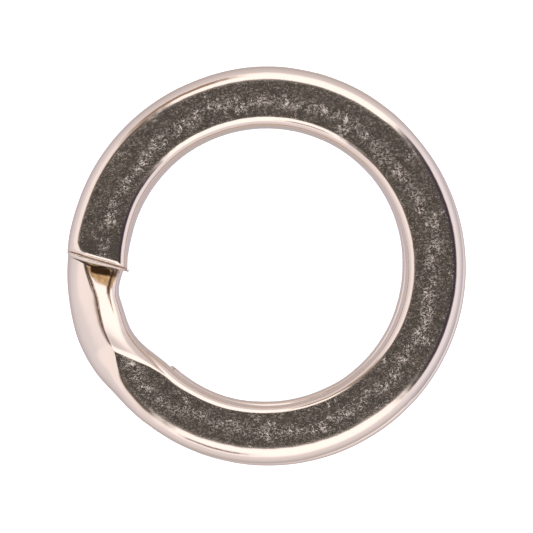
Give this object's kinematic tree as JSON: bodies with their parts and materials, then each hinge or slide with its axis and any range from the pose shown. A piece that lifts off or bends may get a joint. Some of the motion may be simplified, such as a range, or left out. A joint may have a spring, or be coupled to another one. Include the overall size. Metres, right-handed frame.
{
  "type": "split key ring",
  "caption": "Flat-faced split ring coiled from hollow rose gold tube, with a crank between its two turns and plated free ends that spring apart to take a key.",
  "frame": {"origin": "centre of the eye, on the plane the lower turn rests on", "axes": "+Z along the eye's axis, from the lower turn to the upper one; the upper free end is at -X and the lower one between -X and -Y"},
  "size_m": [0.024, 0.024, 0.0038],
  "materials": {
    "rose_gold": "polished, finely scratched",
    "solder": "dull"
  },
  "bodies": {
    "crank": {"crank": "rose_gold"},
    "upper_arc_1": {"upper_arc_1": "rose_gold"},
    "upper_arc_2": {"upper_arc_2": "rose_gold"},
    "upper_arc_3": {"upper_arc_3": "rose_gold"},
    "upper_arc_4": {"upper_arc_4": "rose_gold"},
    "upper_arc_5": {"upper_arc_5": "rose_gold", "upper_end_plate": "rose_gold", "upper_plate_solder": "solder"},
    "lower_arc_1": {"lower_arc_1": "rose_gold"},
    "lower_arc_2": {"lower_arc_2": "rose_gold"},
    "lower_arc_3": {"lower_arc_3": "rose_gold"},
    "lower_arc_4": {"lower_arc_4": "rose_gold"},
    "lower_arc_5": {"lower_arc_5": "rose_gold", "lower_end_plate": "rose_gold", "lower_plate_solder": "solder"}
  },
  "joints": [
    {"name": "upper_twist_1", "type": "hinge", "parent": "crank", "child": "upper_arc_1", "pos_m": [-0.00537, -0.0086, 0.0029], "axis": [0.848, -0.5299, 0], "range_deg": [0, 1]},
    {"name": "upper_twist_2", "type": "hinge", "parent": "upper_arc_1", "child": "upper_arc_2", "pos_m": [0.00474, -0.00892, 0.0029], "axis": [0.8829, 0.4695, 0], "range_deg": [0, 3]},
    {"name": "upper_opening", "type": "hinge", "parent": "upper_arc_2", "child": "upper_arc_3", "pos_m": [0.0101, -0.00035, 0.0029], "axis": [0.0349, 0.9994, 0], "range_deg": [0, 4], "stiffness_Nm_per_rad": 0.3},
    {"name": "upper_twist_4", "type": "hinge", "parent": "upper_arc_3", "child": "upper_arc_4", "pos_m": [0.00538, 0.00861, 0.0029], "axis": [-0.848, 0.5299, 0], "range_deg": [0, 3]},
    {"name": "upper_twist_5", "type": "hinge", "parent": "upper_arc_4", "child": "upper_arc_5", "pos_m": [-0.00479, 0.009, 0.0029], "axis": [-0.8829, -0.4695, 0], "range_deg": [0, 1]},
    {"name": "lower_twist_1", "type": "hinge", "parent": "crank", "child": "lower_arc_1", "pos_m": [-0.00966, 0.00259, 0.00095], "axis": [0.2588, 0.9659, 0], "range_deg": [0, 1]},
    {"name": "lower_twist_2", "type": "hinge", "parent": "lower_arc_1", "child": "lower_arc_2", "pos_m": [-0.00259, 0.00967, 0.00095], "axis": [0.9659, 0.2588, 0], "range_deg": [0, 3]},
    {"name": "lower_opening", "type": "hinge", "parent": "lower_arc_2", "child": "lower_arc_3", "pos_m": [0.00711, 0.00711, 0.00095], "axis": [0.7071, -0.7071, 0], "range_deg": [0, 4], "stiffness_Nm_per_rad": 0.3},
    {"name": "lower_twist_4", "type": "hinge", "parent": "lower_arc_3", "child": "lower_arc_4", "pos_m": [0.00975, -0.00261, 0.00095], "axis": [-0.2588, -0.9659, 0], "range_deg": [0, 3]},
    {"name": "lower_twist_5", "type": "hinge", "parent": "lower_arc_4", "child": "lower_arc_5", "pos_m": [0.00261, -0.00975, 0.00095], "axis": [-0.9659, -0.2588, 0], "range_deg": [0, 1]}
  ],
  "couplings": [
    {"joint": "upper_twist_1", "follows": "upper_opening", "ratio": 0.25},
    {"joint": "upper_twist_2", "follows": "upper_opening", "ratio": 0.75},
    {"joint": "upper_twist_4", "follows": "upper_opening", "ratio": 0.75},
    {"joint": "upper_twist_5", "follows": "upper_opening", "ratio": 0.25},
    {"joint": "lower_twist_1", "follows": "lower_opening", "ratio": 0.25},
    {"joint": "lower_twist_2", "follows": "lower_opening", "ratio": 0.75},
    {"joint": "lower_twist_4", "follows": "lower_opening", "ratio": 0.75},
    {"joint": "lower_twist_5", "follows": "lower_opening", "ratio": 0.25}
  ]
}
